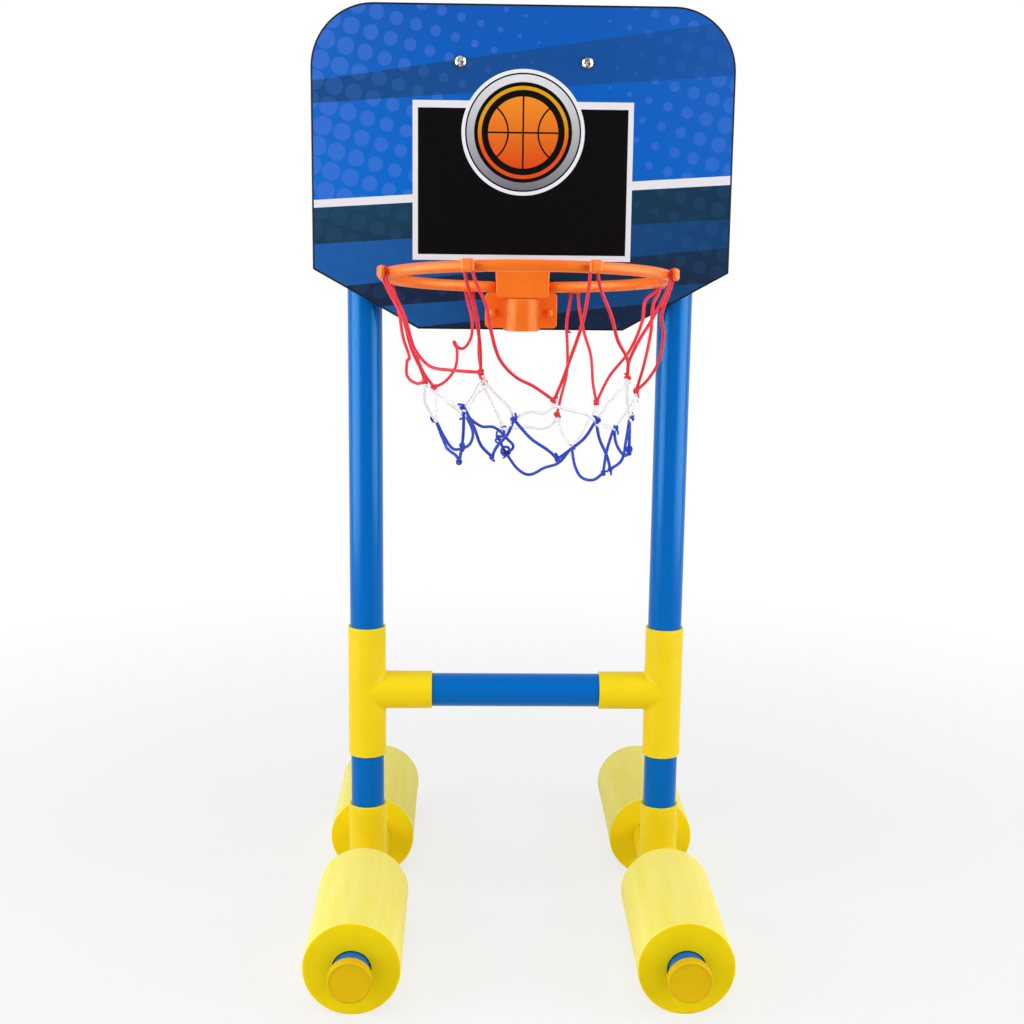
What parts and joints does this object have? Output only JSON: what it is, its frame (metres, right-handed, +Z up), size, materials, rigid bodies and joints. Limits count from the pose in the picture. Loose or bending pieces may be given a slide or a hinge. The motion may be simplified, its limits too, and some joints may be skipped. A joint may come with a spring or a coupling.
{
  "type": "floating_basketball_hoop",
  "caption": "Small free-standing pool basketball hoop: push-fit pipe frame on foam floats, printed backboard, plug-in ring and knotted net",
  "frame": {"origin": "on the ground, centred left to right, and midway between the rim's front and the rear caps' faces", "axes": "+Z up, +X to the right seen from the front, and the hoop faces -Y"},
  "size_m": [0.295, 0.4197, 0.6685],
  "materials": {
    "blue_pipe": "satin",
    "yellow_fitting": "satin",
    "yellow_cap": "satin",
    "yellow_foam": "matte foam",
    "printed_board": "printed, satin",
    "bright_steel": "polished",
    "orange_plastic": "satin",
    "red_cord": "twisted cord",
    "white_cord": "twisted cord",
    "blue_cord": "twisted cord"
  },
  "bodies": {
    "frame": {"backboard": "printed_board", "base_tee_left": "yellow_fitting", "base_tee_right": "yellow_fitting", "board_bolt_left": "bright_steel", "board_bolt_right": "bright_steel", "board_nut_left": "bright_steel", "board_nut_right": "bright_steel", "bracket_rivet_left": "orange_plastic", "bracket_rivet_right": "orange_plastic", "crossbar": "blue_pipe", "end_cap_front_left": "yellow_cap", "end_cap_front_right": "yellow_cap", "end_cap_rear_left": "yellow_cap", "end_cap_rear_right": "yellow_cap", "lower_riser_left": "blue_pipe", "lower_riser_right": "blue_pipe", "mid_tee_left": "yellow_fitting", "mid_tee_right": "yellow_fitting", "rim_bracket": "orange_plastic", "skid_pipe_front_left": "blue_pipe", "skid_pipe_front_right": "blue_pipe", "skid_pipe_rear_left": "blue_pipe", "skid_pipe_rear_right": "blue_pipe", "top_elbow_left": "yellow_fitting", "top_elbow_right": "yellow_fitting", "top_rail": "blue_pipe", "upright_left": "blue_pipe", "upright_right": "blue_pipe"},
    "rim": {"rim": "orange_plastic", "net_red": "red_cord", "net_white": "white_cord", "net_blue": "blue_cord"},
    "float_front_left": {"float_front_left": "yellow_foam"},
    "float_front_right": {"float_front_right": "yellow_foam"},
    "float_rear_left": {"float_rear_left": "yellow_foam"},
    "float_rear_right": {"float_rear_right": "yellow_foam"}
  },
  "joints": [
    {"name": "float_front_left_spin", "type": "hinge", "parent": "frame", "child": "float_front_left", "pos_m": [-0.112, -0.09793, 0.033], "axis": [0, 1, 0], "continuous": true},
    {"name": "float_front_right_spin", "type": "hinge", "parent": "frame", "child": "float_front_right", "pos_m": [0.112, -0.09793, 0.033], "axis": [0, 1, 0], "continuous": true},
    {"name": "float_rear_left_spin", "type": "hinge", "parent": "frame", "child": "float_rear_left", "pos_m": [-0.112, 0.12767, 0.033], "axis": [0, 1, 0], "continuous": true},
    {"name": "float_rear_right_spin", "type": "hinge", "parent": "frame", "child": "float_rear_right", "pos_m": [0.112, 0.12767, 0.033], "axis": [0, 1, 0], "continuous": true},
    {"name": "rim_lift", "type": "slide", "parent": "frame", "child": "rim", "axis": [0, 0, 1], "range_m": [0, 0.024]}
  ]
}
